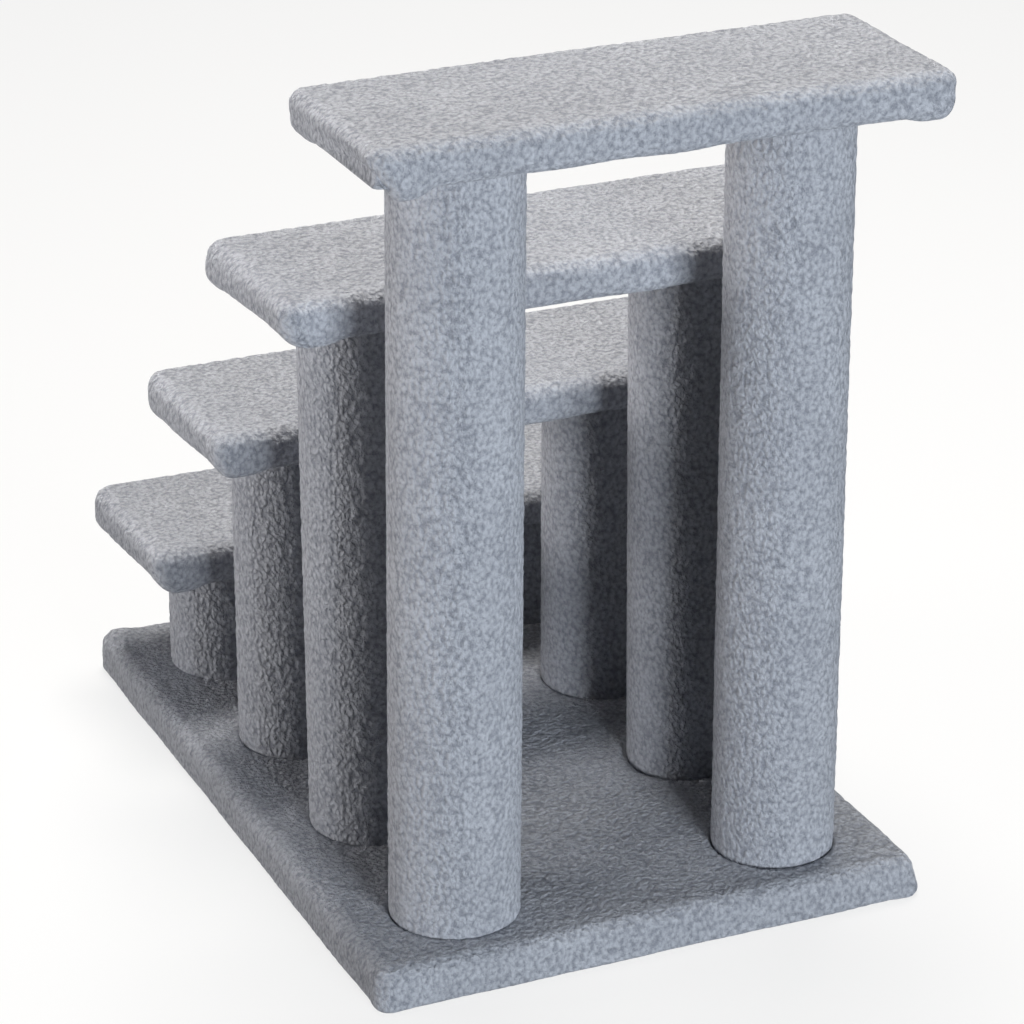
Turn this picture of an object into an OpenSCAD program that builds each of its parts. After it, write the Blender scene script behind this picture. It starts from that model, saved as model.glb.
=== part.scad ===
// Four-step pet stairs. Plush-wrapped treads stand on pairs of plush-wrapped posts,
// and all the posts are bolted to one plush-wrapped base. The flight climbs towards +Y,
// X runs across the treads, z = 0 is the floor and the origin is under the middle.

/* [Flight] */
// Width across the flight, over the ends of the treads
stairs_w = 406; // [340:2:520]
// How far each end of the base stays inside the treads' ends
base_inset = 3; // [0:0.5:10]
// Rise from one tread to the next
rise = 147; // [110:1:180]
// Going: distance along the flight from one tread to the next
going = 142; // [124:1:200]
// Nosing: how far each tread reaches past the start of the next one
nosing = 6; // [0:1:20]
// Clear height between the base's pile and the underside of the lowest tread
first_gap = 94; // [70:1:150]
// From the base's low end to the middle of the first pair of posts
low_inset = 81; // [72:1:120]
// From the middle of the last pair of posts to the base's tall end
tall_inset = 67; // [62:1:120]
// From a tread's end to the middle of its post
post_inset = 83; // [70:1:110]

/* [Boards] */
// Thickness of the base board
base_board_t = 18; // [15:1:25]
// Thickness of a tread board
tread_board_t = 18; // [12:1:25]

/* [Posts] */
// Outer diameter of a post's cardboard tube
core_d = 70; // [60:1:76]
// Wall of the cardboard tube
core_wall = 4; // [2.5:0.5:6]
// Thickness of the wooden plug in each end of a tube
plug_t = 18; // [15:1:25]

/* [Plush] */
// Pile and backing on the treads, edges, base and posts
plush_t = 8; // [5:0.5:10]
// Plush pressed flat where it returns under a board
flap_t = 4; // [3:0.5:6]
// Plush left under the foot of a post
pressed_t = 3; // [1:0.5:4]
// Plush under the staples, along the raw edge of the return
band_t = 2; // [1:0.5:2.5]
// Width of the return under the base
base_flap_w = 36; // [24:1:44]
// Roll of the plush over a board's edges
edge_round = 11; // [8:0.5:12]
// Roll of the base's plush where it meets the floor
foot_round = 4; // [2:0.5:8]
// Plan radius of the wrapped corners
corner_round = 13; // [13:1:24]
// Roll of the plush at the ends of a post
post_end_round = 5; // [2:0.5:7]
// Width of the butt seam down a post
seam_w = 0.8; // [0.4:0.2:2]
// Direction in which the right-hand posts' seams face, turned from +X, and mirrored on the left
seam_turn = 215; // [180:1:270]
// Radius of the pad of folded plush under each tread corner
fold_r = 16; // [14:1:20]
// How far that pad hangs below the tread
fold_drop = 4; // [2:0.5:8]

/* [Bolts] */
// Diameter of the bolts
bolt_d = 8; // [6:1:8]
// Head diameter of the base bolts
head_d = 16; // [14:0.5:18]
// Head height of the base bolts
head_t = 4.5; // [3.5:0.5:5]
// Width across corners of the hexagon socket
socket_d = 5.8; // [4:0.1:7]
// Depth of the hexagon socket
socket_depth = 3; // [2:0.5:3]
// Outer diameter of the washers
washer_d = 24; // [20:1:26]
// Thickness of the washers
washer_t = 1.6; // [1:0.2:2]
// Head diameter of the tread bolts, which the plush hides
tread_head_d = 22; // [16:1:26]
// Head height of the tread bolts
tread_head_t = 3; // [2:0.5:4]
// Flange diameter of the flanged nuts
nut_flange_d = 20; // [16:1:26]
// Flange thickness of the flanged nuts
nut_flange_t = 1.5; // [1:0.1:2]
// Barrel diameter of the flanged nuts
nut_barrel_d = 10.4; // [10:0.2:12]
// Barrel length of the flanged nuts
nut_barrel_l = 10; // [7:1:13]
// How far a bolt stands past its nut
bolt_past = 2; // [1:0.5:5]

/* [Staples] */
// Length of a staple's crown
crown_l = 11; // [8:0.5:13]
// Width of the staple wire
wire_w = 1.2; // [0.8:0.1:1.4]
// Thickness of the staple wire
wire_t = 0.7; // [0.5:0.1:0.9]
// Length of a staple's legs
leg_l = 8; // [6:0.5:10]
// Longest spacing of the staples
staple_gap = 60; // [40:5:90]

/* [Hidden] */
$fn = 64;

// A flight of this kind has four treads, and each stands on two posts.
steps = [1:4];
last_step = 4;
left = -1;
right = 1;
sides = [left, right];

// Clearances
glue_gap = 0.2;      // between plush and the board or tube under it
plug_fit = 0.1;      // round a plug in its tube, and round a nut's barrel in its plug
bolt_fit = 0.3;      // round a bolt in a board, a washer or a plug
thread_fit = 0.05;   // round a bolt in its nut
head_fit = 1;        // round a washer or head in its counterbore
head_sink = 0.4;     // how deep a base bolt's head lies inside the board
seat_gap = 0.5;      // round a post's foot in the pressed pile
flap_gap = 1;        // between a post and the return of the tread's plush
fold_in = 1;         // how far the folded pad stays inside the tread's sides
staple_fit = 0.1;    // round a staple's legs
overrun = 1;         // how far a cut runs past the face that it opens

// Small forms
plug_chamfer = 1.5;
head_chamfer = 0.8;
mitre_w = 1;
mitre_depth = 1.5;
roll_max_share = 0.45;
band_share = 0.55;
staple_share = 0.42;
corner_clear = 12;   // from the end of a row of staples to the corner of the rows

// Colours
plush_colour = [0.64, 0.67, 0.72];
board_colour = [0.78, 0.66, 0.48];
card_colour = [0.72, 0.61, 0.46];
plug_colour = [0.83, 0.72, 0.53];
zinc_colour = [0.76, 0.77, 0.79];

// Across the flight
board_w = stairs_w - 2 * plush_t;
base_w = stairs_w - 2 * base_inset;
base_board_w = base_w - 2 * plush_t;
post_x = stairs_w / 2 - post_inset;
post_d = core_d + 2 * plush_t;
plug_d = core_d - 2 * core_wall - 2 * plug_fit;

// Along the flight
tread_d = going + nosing;
tread_board_d = tread_d - 2 * plush_t;
run = (last_step - 1) * going;
base_l = low_inset + run + tall_inset;
low_end = min(0, low_inset - tread_d / 2);
tall_end = max(base_l, low_inset + run + tread_d / 2);
middle = (low_end + tall_end) / 2;
base_y = base_l / 2 - middle;
base_board_l = base_l - 2 * plush_t;

// Up the flight
base_h = flap_t + base_board_t + plush_t;
tread_h = flap_t + tread_board_t + plush_t;
foot_z = base_h - plush_t + pressed_t;
washer_z = flap_t + head_sink + head_t;

// Returns of the plush under a tread: the posts stand on the bare board between them
side_flap_w = tread_d / 2 - plush_t - post_d / 2 - flap_gap;
end_flap_w = post_inset - plush_t - post_d / 2 - flap_gap;

// Board corners follow the wrapped corners, one pile thickness inside them
board_corner = corner_round - plush_t;

function post_y(step) = low_inset + (step - 1) * going - middle;
function tread_z(step) = base_h + first_gap + (step - 1) * rise;
function head_z(step) = tread_z(step) + flap_t;
function post_len(step) = head_z(step) - foot_z;

// Evenly spread places from one end of a span to the other, no further apart than gap
function spread(span, gap) =
    let (parts = max(1, ceil(span / gap)))
    [for (i = [0:parts]) span * i / parts - span / 2];

// Staple places under a board: [x, y, turn], in rows along the middle of the stapled band
function staple_places(board_x, board_y, flap_x, flap_y) =
    let (
        row_x = board_x / 2 - flap_x * (1 - band_share * staple_share),
        row_y = board_y / 2 - flap_y * (1 - band_share * staple_share)
    )
    concat(
        [for (s = sides) for (x = spread(2 * (row_x - corner_clear), staple_gap)) [x, s * row_y, 0]],
        [for (s = sides) for (y = spread(2 * (row_y - corner_clear), staple_gap)) [s * row_x, y, 90]]
    );

base_staple_places = staple_places(base_board_w, base_board_l, base_flap_w, base_flap_w);
tread_staple_places = staple_places(board_w, tread_board_d, end_flap_w, side_flap_w);

// Places the children at the axis of every post
module at_posts() {
    for (step = steps) {
        for (side = sides) {
            translate([side * post_x, post_y(step), 0]) children();
        }
    }
}

// Half section from an axis out to reach, with its upper and lower outer corners rolled
module rolled_section(reach, height, roll, low_roll) {
    intersection() {
        union() {
            square([reach - roll, height]);
            square([reach - low_roll, height - roll]);
            translate([0, low_roll]) square([reach, height - roll - low_roll]);
            translate([reach - roll, height - roll]) circle(roll);
            translate([reach - low_roll, low_roll]) circle(low_roll);
        }
        square([reach, height]);
    }
}

// One side of a wrapped slab: its rolled edge, as long as the straight part of the side
module rolled_side(out, along, height, roll, low_roll) {
    translate([out, along / 2, 0])
        rotate([90, 0, 0])
            linear_extrude(along)
                rolled_section(corner_round, height, roll, low_roll);
}

// Slab with rolled edges all round, the lower ones rolled by low_round, and round plan corners
module wrapped_slab(width, depth, height, low_round) {
    roll = min(edge_round, height * roll_max_share);
    low_roll = min(low_round, height * roll_max_share);
    flat_x = width - 2 * corner_round;
    flat_y = depth - 2 * corner_round;
    translate([-flat_x / 2, -flat_y / 2, 0]) cube([flat_x, flat_y, height]);
    for (turn = [0, 180]) {
        rotate(turn) rolled_side(flat_x / 2, flat_y, height, roll, low_roll);
        rotate(turn + 90) rolled_side(flat_y / 2, flat_x, height, roll, low_roll);
    }
    for (quarter = [0:3]) {
        x = (quarter == 0 || quarter == 3) ? flat_x / 2 : -flat_x / 2;
        y = quarter < 2 ? flat_y / 2 : -flat_y / 2;
        translate([x, y, 0])
            rotate(quarter * 90)
                rotate_extrude(angle = 90)
                    rolled_section(corner_round, height, roll, low_roll);
    }
}

// Board with round corners, grown all round by grow
module board_blank(width, depth, thick, grow = 0) {
    radius = board_corner + grow;
    translate([0, 0, -grow])
        linear_extrude(thick + 2 * grow) {
            square([width - 2 * board_corner, depth + 2 * grow], center = true);
            square([width + 2 * grow, depth - 2 * board_corner], center = true);
            for (x = sides) {
                for (y = sides) {
                    translate([x * (width / 2 - board_corner), y * (depth / 2 - board_corner)])
                        circle(radius);
                }
            }
        }
}

// One staple, its crown against z = 0 and its legs up
module staple() {
    translate([-crown_l / 2, -wire_w / 2, -wire_t]) cube([crown_l, wire_w, wire_t]);
    for (side = sides) {
        translate([side * (crown_l - wire_t) / 2 - wire_t / 2, -wire_w / 2, -wire_t])
            cube([wire_t, wire_w, wire_t + leg_l]);
    }
}

// The two slots that a staple's legs make
module staple_slots() {
    slot_x = wire_t + 2 * staple_fit;
    slot_y = wire_w + 2 * staple_fit;
    for (side = sides) {
        translate([side * (crown_l - wire_t) / 2 - slot_x / 2, -slot_y / 2, -wire_t / 2])
            cube([slot_x, slot_y, wire_t / 2 + leg_l + staple_fit]);
    }
}

// Places the children on the stapled band of a board whose plush starts at z = 0
module at_staples(places) {
    for (place = places) {
        translate([place[0], place[1], flap_t - band_t]) rotate(place[2]) children();
    }
}

// Board with the pockets of its staples. Its underside lies on the returned plush.
module stapled_board(width, depth, thick, places) {
    difference() {
        translate([0, 0, flap_t]) board_blank(width, depth, thick);
        at_staples(places) staple_slots();
    }
}

// Pad of doubled plush folded under a tread's corner
module folded_corner() {
    roll = min(edge_round, tread_h * roll_max_share);
    translate([stairs_w / 2 - fold_r - fold_in, tread_d / 2 - fold_r - fold_in, -fold_drop])
        rotate_extrude() rolled_section(fold_r, tread_h, roll, roll);
}

// What is cut from a wrapped slab: the board's room, the opening under it between
// the returns, the thinner band that is stapled, the folds at the corners and the staples
module wrap_cuts(width, depth, thick, flap_x, flap_y, drop, places) {
    bare_x = width - 2 * flap_x;
    bare_y = depth - 2 * flap_y;
    band_x = bare_x + 2 * flap_x * band_share;
    band_y = bare_y + 2 * flap_y * band_share;
    low = -drop - overrun;
    fold_l = norm([plush_t, plush_t]) + norm([flap_x, flap_x]) / 2;
    translate([0, 0, flap_t]) board_blank(width, depth, thick, glue_gap);
    translate([-bare_x / 2, -bare_y / 2, low]) cube([bare_x, bare_y, flap_t - low]);
    translate([-band_x / 2, -band_y / 2, low]) cube([band_x, band_y, flap_t - band_t - low]);
    for (x = sides) {
        for (y = sides) {
            translate([x * (width - board_corner) / 2, y * (depth - board_corner) / 2, low])
                rotate(x * y * 45)
                    translate([-fold_l / 2, -mitre_w / 2, 0])
                        cube([fold_l, mitre_w, mitre_depth - low]);
        }
    }
    at_staples(places) staple_slots();
}

module base_board() {
    bore_r = bolt_d / 2 + bolt_fit;
    counterbore_r = washer_d / 2 + head_fit;
    color(board_colour)
        difference() {
            translate([0, base_y, 0])
                stapled_board(base_board_w, base_board_l, base_board_t, base_staple_places);
            at_posts() {
                translate([0, 0, flap_t - overrun])
                    cylinder(h = base_board_t + 2 * overrun, r = bore_r);
                translate([0, 0, flap_t - overrun])
                    cylinder(h = washer_z + washer_t - flap_t + overrun, r = counterbore_r);
            }
        }
}

module base_cover() {
    color(plush_colour)
        difference() {
            translate([0, base_y, 0])
                difference() {
                    wrapped_slab(base_w, base_l, base_h, foot_round);
                    wrap_cuts(base_board_w, base_board_l, base_board_t, base_flap_w, base_flap_w,
                        0, base_staple_places);
                }
            at_posts() {
                translate([0, 0, foot_z])
                    cylinder(h = plush_t, r = post_d / 2 + seat_gap);
                translate([0, 0, foot_z - plush_t])
                    cylinder(h = 2 * plush_t, r = bolt_d / 2 + bolt_fit);
            }
        }
}

module tread_board(step) {
    color(board_colour)
        translate([0, post_y(step), tread_z(step)])
            difference() {
                stapled_board(board_w, tread_board_d, tread_board_t, tread_staple_places);
                for (side = sides) {
                    translate([side * post_x, 0, flap_t - overrun])
                        cylinder(h = tread_board_t + 2 * overrun, r = bolt_d / 2 + bolt_fit);
                    translate([side * post_x, 0, flap_t + tread_board_t - tread_head_t])
                        cylinder(h = tread_head_t + overrun, r = tread_head_d / 2 + bolt_fit);
                }
            }
}

module tread_cover(step) {
    color(plush_colour)
        translate([0, post_y(step), tread_z(step)])
            difference() {
                union() {
                    wrapped_slab(stairs_w, tread_d, tread_h, edge_round);
                    for (x = [0, 1]) {
                        for (y = [0, 1]) {
                            mirror([x, 0, 0]) mirror([0, y, 0]) folded_corner();
                        }
                    }
                }
                wrap_cuts(board_w, tread_board_d, tread_board_t, end_flap_w, side_flap_w,
                    fold_drop, tread_staple_places);
            }
}

module post_tube(step, side) {
    color(card_colour)
        translate([side * post_x, post_y(step), foot_z])
            difference() {
                cylinder(h = post_len(step), r = core_d / 2);
                translate([0, 0, -overrun])
                    cylinder(h = post_len(step) + 2 * overrun, r = core_d / 2 - core_wall);
            }
}

// Plush wrapped once round the tube and butted edge to edge down one side
module post_cover(step, side) {
    inner_r = core_d / 2 + glue_gap;
    wrap_t = post_d / 2 - inner_r;
    roll = min(post_end_round, wrap_t - glue_gap);
    color(plush_colour)
        translate([side * post_x, post_y(step), foot_z])
            difference() {
                rotate_extrude()
                    translate([inner_r, 0])
                        rolled_section(wrap_t, post_len(step), roll, roll);
                rotate(90 + side * (seam_turn - 90))
                    translate([0, -seam_w / 2, -overrun])
                        cube([post_d, seam_w, post_len(step) + 2 * overrun]);
            }
}

// Wooden plug with its outer face on z = 0 and its nut's recess in the other face
module plug() {
    difference() {
        union() {
            cylinder(h = plug_t - plug_chamfer, r = plug_d / 2);
            translate([0, 0, plug_t - plug_chamfer])
                cylinder(h = plug_chamfer, r1 = plug_d / 2, r2 = plug_d / 2 - plug_chamfer);
        }
        translate([0, 0, -overrun])
            cylinder(h = plug_t + 2 * overrun, r = bolt_d / 2 + bolt_fit);
        translate([0, 0, plug_t - nut_barrel_l - plug_fit])
            cylinder(h = nut_barrel_l + plug_fit + overrun, r = nut_barrel_d / 2 + plug_fit);
    }
}

// Flanged nut, its flange seated on z = 0 and its barrel down
module flanged_nut() {
    difference() {
        union() {
            cylinder(h = nut_flange_t, r = nut_flange_d / 2);
            translate([0, 0, -nut_barrel_l])
                cylinder(h = nut_barrel_l + nut_flange_t, r = nut_barrel_d / 2);
        }
        translate([0, 0, -nut_barrel_l - overrun])
            cylinder(h = nut_barrel_l + nut_flange_t + 2 * overrun, r = bolt_d / 2 + thread_fit);
    }
}

module foot_plug(step, side) {
    color(plug_colour)
        translate([side * post_x, post_y(step), foot_z]) plug();
}

module head_plug(step, side) {
    color(plug_colour)
        translate([side * post_x, post_y(step), head_z(step)]) mirror([0, 0, 1]) plug();
}

module foot_nuts() {
    color(zinc_colour)
        at_posts() translate([0, 0, foot_z + plug_t]) flanged_nut();
}

module head_nuts() {
    color(zinc_colour)
        for (step = steps) {
            for (side = sides) {
                translate([side * post_x, post_y(step), head_z(step) - plug_t])
                    mirror([0, 0, 1]) flanged_nut();
            }
        }
}

// Bolt up through the base board and the pressed pile into the post's foot
module base_bolt() {
    tip_z = foot_z + plug_t + nut_flange_t + bolt_past;
    difference() {
        union() {
            translate([0, 0, washer_z - head_t])
                cylinder(h = head_chamfer, r1 = head_d / 2 - head_chamfer, r2 = head_d / 2);
            translate([0, 0, washer_z - head_t + head_chamfer])
                cylinder(h = head_t - head_chamfer, r = head_d / 2);
            translate([0, 0, washer_z - head_chamfer])
                cylinder(h = tip_z - washer_z + head_chamfer, r = bolt_d / 2);
        }
        translate([0, 0, washer_z - head_t - overrun])
            cylinder(h = socket_depth + overrun, r = socket_d / 2, $fn = 6);
    }
}

module base_bolts() {
    color(zinc_colour) at_posts() base_bolt();
}

module base_washers() {
    color(zinc_colour)
        at_posts()
            translate([0, 0, washer_z])
                difference() {
                    cylinder(h = washer_t, r = washer_d / 2);
                    translate([0, 0, -overrun])
                        cylinder(h = washer_t + 2 * overrun, r = bolt_d / 2 + bolt_fit);
                }
}

// Bolt down from the tread board's top face into the post's head
module tread_bolt() {
    top_z = flap_t + tread_board_t;
    tip_z = flap_t - plug_t - nut_flange_t - bolt_past;
    translate([0, 0, top_z - tread_head_t]) cylinder(h = tread_head_t, r = tread_head_d / 2);
    translate([0, 0, tip_z]) cylinder(h = top_z - tip_z, r = bolt_d / 2);
}

module tread_bolts() {
    color(zinc_colour)
        for (step = steps) {
            for (side = sides) {
                translate([side * post_x, post_y(step), tread_z(step)]) tread_bolt();
            }
        }
}

module base_staples() {
    color(zinc_colour)
        translate([0, base_y, 0]) at_staples(base_staple_places) staple();
}

module tread_staples() {
    color(zinc_colour)
        for (step = steps) {
            translate([0, post_y(step), tread_z(step)]) at_staples(tread_staple_places) staple();
        }
}

base_board();
base_cover();
base_bolts();
base_washers();
base_staples();
tread_board(1);  // tread_board_1
tread_board(2);  // tread_board_2
tread_board(3);  // tread_board_3
tread_board(4);  // tread_board_4
tread_cover(1);  // tread_cover_1
tread_cover(2);  // tread_cover_2
tread_cover(3);  // tread_cover_3
tread_cover(4);  // tread_cover_4
tread_bolts();
tread_staples();
post_tube(1, left);  // post_tube_1_left
post_tube(1, right);  // post_tube_1_right
post_tube(2, left);  // post_tube_2_left
post_tube(2, right);  // post_tube_2_right
post_tube(3, left);  // post_tube_3_left
post_tube(3, right);  // post_tube_3_right
post_tube(4, left);  // post_tube_4_left
post_tube(4, right);  // post_tube_4_right
post_cover(1, left);  // post_cover_1_left
post_cover(1, right);  // post_cover_1_right
post_cover(2, left);  // post_cover_2_left
post_cover(2, right);  // post_cover_2_right
post_cover(3, left);  // post_cover_3_left
post_cover(3, right);  // post_cover_3_right
post_cover(4, left);  // post_cover_4_left
post_cover(4, right);  // post_cover_4_right
foot_plug(1, left);  // foot_plug_1_left
foot_plug(1, right);  // foot_plug_1_right
foot_plug(2, left);  // foot_plug_2_left
foot_plug(2, right);  // foot_plug_2_right
foot_plug(3, left);  // foot_plug_3_left
foot_plug(3, right);  // foot_plug_3_right
foot_plug(4, left);  // foot_plug_4_left
foot_plug(4, right);  // foot_plug_4_right
head_plug(1, left);  // head_plug_1_left
head_plug(1, right);  // head_plug_1_right
head_plug(2, left);  // head_plug_2_left
head_plug(2, right);  // head_plug_2_right
head_plug(3, left);  // head_plug_3_left
head_plug(3, right);  // head_plug_3_right
head_plug(4, left);  // head_plug_4_left
head_plug(4, right);  // head_plug_4_right
foot_nuts();
head_nuts();
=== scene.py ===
"""Pet stairs in curly plush: thirteen plush covers on a flight of bare boards, tubes and steel."""

import math

import bpy
import numpy as np
from bpy.props import FloatProperty, FloatVectorProperty, IntProperty, PointerProperty
from bpy.types import Operator, Panel, PropertyGroup
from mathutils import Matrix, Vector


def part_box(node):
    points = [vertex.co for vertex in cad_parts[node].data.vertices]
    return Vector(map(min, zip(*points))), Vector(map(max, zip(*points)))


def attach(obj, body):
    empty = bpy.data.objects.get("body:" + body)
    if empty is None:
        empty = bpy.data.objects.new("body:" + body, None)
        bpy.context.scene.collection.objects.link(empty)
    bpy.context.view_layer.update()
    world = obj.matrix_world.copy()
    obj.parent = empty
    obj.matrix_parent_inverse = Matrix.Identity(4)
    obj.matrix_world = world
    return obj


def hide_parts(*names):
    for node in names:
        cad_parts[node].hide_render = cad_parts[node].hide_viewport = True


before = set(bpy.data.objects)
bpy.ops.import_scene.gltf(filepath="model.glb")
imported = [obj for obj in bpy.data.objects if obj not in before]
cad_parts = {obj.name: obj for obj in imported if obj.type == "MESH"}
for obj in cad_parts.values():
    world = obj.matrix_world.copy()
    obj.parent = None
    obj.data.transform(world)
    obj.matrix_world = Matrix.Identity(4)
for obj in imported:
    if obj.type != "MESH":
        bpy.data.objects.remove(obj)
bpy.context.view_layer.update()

bl_info = {
    "name": "Pet Stairs Plush",
    "version": (1, 0, 0),
    "blender": (4, 5, 0),
    "location": "3D View > Sidebar > Pet Stairs",
    "description": "Covers a four-step flight of pet stairs in curly plush "
                   "and finishes its boards and fittings",
    "category": "Object",
}

STEPS = (1, 2, 3, 4)
SIDES = ("left", "right")
WELD = 0.00002
TINY = 1e-9

# Each tread corner's folded pad, by the signs of X and Y: how far it hangs as a share of the fold's drop,
# how much further in along X it lies, and how far the hem under the end is drawn in there, in metres
CORNER_FOLDS = {
    1: {(1, 1): (0.85, 0.006, 0.006), (1, -1): (0.6, 0.0, 0.0), (-1, 1): (0.9, 0.0, 0.0),
        (-1, -1): (0.8, 0.0, 0.0)},
    2: {(1, 1): (0.75, 0.004, 0.005), (1, -1): (0.6, 0.0, 0.0), (-1, 1): (0.9, 0.0, 0.0),
        (-1, -1): (0.7, 0.0, 0.0)},
    3: {(1, 1): (0.9, 0.006, 0.005), (1, -1): (0.7, 0.0, 0.0), (-1, 1): (1.0, 0.0, 0.0),
        (-1, -1): (0.7, 0.0, 0.0)},
    4: {(1, 1): (1.5, 0.011, 0.010), (1, -1): (0.6, 0.0, 0.0), (-1, 1): (0.7, 0.0, 0.0),
        (-1, -1): (0.7, 0.0, 0.0)},
}

# How far each tread's plush fills out past its -X and +X ends, and is lifted at its +X end, in metres
END_FORMS = {1: (0.0005, 0.0006, 0.0018), 2: (0.0, 0.0026, 0.0008), 3: (-0.0005, 0.0048, 0.0),
             4: (-0.002, -0.0042, -0.0008)}

# How far a post's plush stands off to +X at its foot and its head, and how much thicker it is, in metres
POST_SETS = {
    "1_right": (0.0008, 0.0008, 0.0018),
    "2_right": (0.0004, 0.0004, 0.0003),
    "3_right": (-0.0002, 0.002, 0.0012),
    "4_right": (-0.0015, -0.0055, 0.0012),
    "2_left": (-0.0004, -0.0002, 0.0),
    "3_left": (-0.0036, 0.0, -0.0005),
    "4_left": (-0.0006, 0.0, -0.0008),
}

# How the forms of the plush ease in from an end or a side, in metres: where they start and where they
# are full
HEM_RIM = (0.02, 0.004)
END_FILL = (0.03, 0.004)
END_ARCH = (0.03, 0.012)
CORNER_FILL = (0.024, 0.006)
CORNER_TUCK = (0.032, 0.008)

# Where a form of the plush starts and where it is full, as shares of a board cover's height
LOW_SHARES = (0.25, 0.6)
HIGH_SHARES = (0.5, 0.9)
LEAN_SHARES = (0.3, 1.0)
HEM_SHARES = (0.0, 0.9)
FOOT_SHARES = (0.1, 0.8)
UNDER_SHARES = (0.0, 0.3)
TOP_SHARE = 0.7

# How much less the ends fill out at the top, how wide the arch is, where a pad eases off as shares of its
# radius, and where the tuck starts and is full as shares of half a cover's length along Y
LEAN = 0.5
ARCH_SHARE = 0.8
PAD_SHARES = (0.6, 1.6)
TUCK_SHARES = (-0.4, 0.75)

# Slow waves of the hem, in metres: how far it goes out or up, and how long a wave is, give or take
OUT_WAVE = (0.0006, 0.085)
UP_WAVE = (0.0007, 0.055)
WAVE_SHARES = (0.7, 1.6)
WAVED_RIM = 0.016
WAVES = 7
WAVE_SUM = 3.2

# How far inside and outside its edge the stapled band eases off, and how far round a post its seat does
BAND_EDGE = (0.001, 0.002)
SEAT_EDGE = 0.003

# How much less free the pile is under a board, and how much less again under its staples, as shares
UNDER_PRESS = 0.6
STAPLE_PRESS = 0.85

# How much of the base's near corners' filling stays at the top. The corner at +X and -Y puffs up: how far
# in its middle is, from what share of the height, how high it goes, and where that starts and stops
# easing off
CORNER_TOP = 0.4
PUFF_IN = 0.013
PUFF_FROM = 0.5
PUFF_RISE = 0.003
PUFF_REACH = (0.003, 0.022)

# One curl of the pile: its stretch along Z, how fine and rough its lumps are, how far they push the nubs
# about in widths of a curl, how soft the nubs are, the factor and the level of each, and the heights that
# have the painted shade of the creases and the colour of the tips
CURL_STRETCH = (1.0, 1.0, 0.85)
LUMPS_PER_CURL = 1.3
LUMP_ROUGHNESS = 0.6
NUB_SHIFT = 0.7
NUB_SOFTNESS = 0.6
NUB_RANGE = (-1.3, 0.75)
LUMP_RANGE = (1.5, -0.35)
SHADE_RANGE = (-0.25, 1.1)

# Colours that don't depend on a setting
# The fibre colour is partly the fibres' own lighter tone and partly painted highlight
FIBRE_TONE_AND_HIGHLIGHT = (0.62, 0.64, 0.69)
SHEEN_COLOUR = (0.86, 0.9, 1.0, 1.0)
CHIP_COLOURS = (0.42, 0.29, 0.165), (0.70, 0.55, 0.37)
DUST_COLOUR = (0.56, 0.42, 0.27)
PAPER_COLOURS = (0.42, 0.29, 0.17), (0.62, 0.47, 0.31)
PLY_COLOUR = (0.27, 0.18, 0.10)
PLUG_COLOURS = (0.60, 0.44, 0.26), (0.76, 0.61, 0.41)
PORE_COLOUR = (0.38, 0.25, 0.13)
ZINC_COLOUR = (0.72, 0.73, 0.75)
WIRE_COLOUR = (0.74, 0.75, 0.76)
SKY_COLOUR = (0.80, 0.88, 1.0, 1.0)
WHITE = (1.0, 1.0, 1.0, 1.0)

# Each lamp's place, target and size in metres, its colour, and the angle that its light fans out by
LAMPS = {
    "top": ((-0.25, -0.6, 2.7), (0, 0, 0.4), 1.1, (1.0, 0.962, 0.9), math.pi),
    "front": ((-0.08, 2.85, 0.62), (0, 0.1, 0.4), 0.9, (0.89, 0.95, 1.0), math.pi),
    "side": ((2.5, -1.05, 0.8), (0, 0, 0.68), 1.4, (1.0, 0.965, 0.93), math.radians(42)),
}
FLOOR_REACH = 14.0
SENSOR_WIDTH = 36.0
VIEW_DEPTH = 50.0


# Settings that a user would change

def metres(name, description, default):
    return FloatProperty(name=name, description=description, default=default, unit="LENGTH")


def degrees(name, description, default):
    return FloatProperty(name=name, description=description, default=math.radians(default),
                         unit="ROTATION")


def factor(name, description, default):
    return FloatProperty(name=name, description=description, default=default, subtype="FACTOR")


def number(name, description, default):
    return FloatProperty(name=name, description=description, default=default)


def colour(name, description, default):
    return FloatVectorProperty(name=name, description=description, default=default, subtype="COLOR")


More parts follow.
